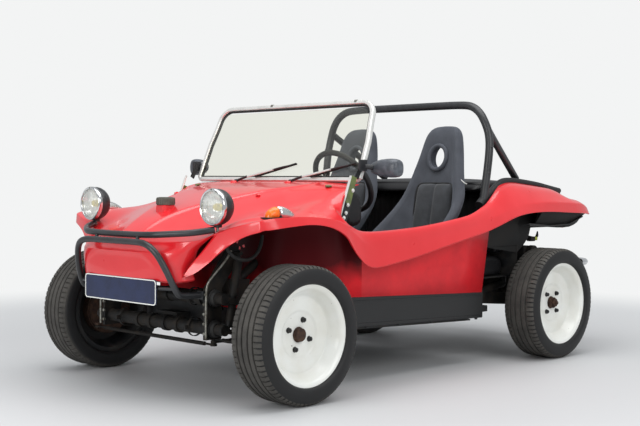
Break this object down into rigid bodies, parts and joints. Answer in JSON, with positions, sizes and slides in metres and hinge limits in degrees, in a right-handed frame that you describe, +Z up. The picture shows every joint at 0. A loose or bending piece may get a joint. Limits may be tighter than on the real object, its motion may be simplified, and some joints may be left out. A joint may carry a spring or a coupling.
{
  "type": "dune buggy",
  "caption": "Open dune buggy with a moulded body over a rear-engined floorpan, steered front wheels, windscreen, roll bar and push bar.",
  "frame": {"origin": "on the ground under the middle of the overall box", "axes": "+X forward, +Y to the car's left, +Z up"},
  "size_m": [3.001, 1.591, 1.345],
  "materials": {
    "red_gelcoat": "gloss red gel coat",
    "black_chassis": "satin black chassis paint",
    "black_tube": "gloss black powder coat",
    "wheel_paint": "off-white wheel paint",
    "cast_drum": "dull cast iron",
    "tyre_rubber": "worn road tyre",
    "chrome": "polished",
    "polished_frame": "polished",
    "clear_glass": "clear",
    "black_vinyl": "padded vinyl",
    "grey_cloth": "dark grey woven cloth",
    "dark_plastic": "moulded",
    "lamp_red": "ribbed lens",
    "lamp_amber": "ribbed lens",
    "navy_plate": "plain dark blue enamel",
    "engine_metal": "dull dark metal",
    "exhaust_steel": "dull"
  },
  "bodies": {
    "chassis": {"dashboard": "black_vinyl", "deck_cover": "black_vinyl", "engine": "engine_metal", "exhaust": "exhaust_steel", "floorpan": "black_chassis", "footwell": "red_gelcoat", "front_arms": "black_chassis", "front_beam": "black_chassis", "front_dampers": "black_chassis", "front_fenders": "red_gelcoat", "front_seats": "grey_cloth", "fuel_filler": "dark_plastic", "headlamps": "chrome", "hood": "red_gelcoat", "indicators": "lamp_amber", "levers": "black_chassis", "lower_panels": "red_gelcoat", "mirrors": "dark_plastic", "number_plate": "navy_plate", "push_bar": "black_tube", "rear_axle": "black_chassis", "rear_bumper": "chrome", "rear_fenders": "red_gelcoat", "rear_lamps": "lamp_red", "rear_seat": "black_vinyl", "rear_tub": "black_chassis", "roll_bar": "black_tube", "side_panels": "red_gelcoat", "sills": "black_chassis", "steering_column": "black_chassis", "tail_panel": "red_gelcoat", "windshield_frame": "polished_frame", "windshield_glass": "clear_glass", "wipers": "dark_plastic"},
    "knuckle_left": {"knuckle_left": "black_chassis"},
    "knuckle_right": {"knuckle_right": "black_chassis"},
    "pitman_arm": {"pitman_arm": "black_chassis"},
    "tie_rod_left": {"tie_rod_left": "black_chassis"},
    "tie_rod_right": {"tie_rod_right": "black_chassis"},
    "steering_wheel": {"steering_wheel": "dark_plastic"},
    "wheel_front_left": {"tyre_front_left": "tyre_rubber", "rim_front_left": "wheel_paint", "drum_front_left": "cast_drum"},
    "wheel_front_right": {"tyre_front_right": "tyre_rubber", "rim_front_right": "wheel_paint", "drum_front_right": "cast_drum"},
    "wheel_rear_left": {"tyre_rear_left": "tyre_rubber", "rim_rear_left": "wheel_paint", "drum_rear_left": "cast_drum"},
    "wheel_rear_right": {"tyre_rear_right": "tyre_rubber", "rim_rear_right": "wheel_paint", "drum_rear_right": "cast_drum"}
  },
  "joints": [
    {"name": "steer_left", "type": "hinge", "parent": "chassis", "child": "knuckle_left", "pos_m": [1.054, 0.575, 0.293], "axis": [0, 0, 1], "range_deg": [-28, 28]},
    {"name": "steer_right", "type": "hinge", "parent": "chassis", "child": "knuckle_right", "pos_m": [1.054, -0.575, 0.293], "axis": [0, 0, 1], "range_deg": [-29, 29]},
    {"name": "pitman_turn", "type": "hinge", "parent": "chassis", "child": "pitman_arm", "pos_m": [1.054, 0.3, 0.231], "axis": [0, 0, 1], "range_deg": [-29, 29]},
    {"name": "tie_rod_left_turn", "type": "hinge", "parent": "pitman_arm", "child": "tie_rod_left", "pos_m": [1.169, 0.3, 0.244], "axis": [0, 0, 1], "range_deg": [-29, 29]},
    {"name": "tie_rod_right_turn", "type": "hinge", "parent": "pitman_arm", "child": "tie_rod_right", "pos_m": [1.169, 0.3, 0.218], "axis": [0, 0, 1], "range_deg": [-29, 29]},
    {"name": "steering_wheel_turn", "type": "hinge", "parent": "chassis", "child": "steering_wheel", "pos_m": [0.354, 0.3, 0.935], "axis": [-0.8387, 0, 0.5446], "range_deg": [-396, 396]},
    {"name": "wheel_front_left_spin", "type": "hinge", "parent": "knuckle_left", "child": "wheel_front_left", "pos_m": [1.054, 0.6975, 0.293], "axis": [0, 1, 0], "continuous": true},
    {"name": "wheel_front_right_spin", "type": "hinge", "parent": "knuckle_right", "child": "wheel_front_right", "pos_m": [1.054, -0.6975, 0.293], "axis": [0, 1, 0], "continuous": true},
    {"name": "wheel_rear_left_spin", "type": "hinge", "parent": "chassis", "child": "wheel_rear_left", "pos_m": [-0.866, 0.6835, 0.293], "axis": [0, 1, 0], "continuous": true},
    {"name": "wheel_rear_right_spin", "type": "hinge", "parent": "chassis", "child": "wheel_rear_right", "pos_m": [-0.866, -0.6835, 0.293], "axis": [0, 1, 0], "continuous": true}
  ],
  "couplings": [
    {"joint": "steer_right", "follows": "steer_left", "ratio": 1},
    {"joint": "pitman_turn", "follows": "steer_left", "ratio": 1},
    {"joint": "tie_rod_left_turn", "follows": "steer_left", "ratio": -1},
    {"joint": "tie_rod_right_turn", "follows": "steer_left", "ratio": -1},
    {"joint": "steering_wheel_turn", "follows": "steer_left", "ratio": 14}
  ]
}
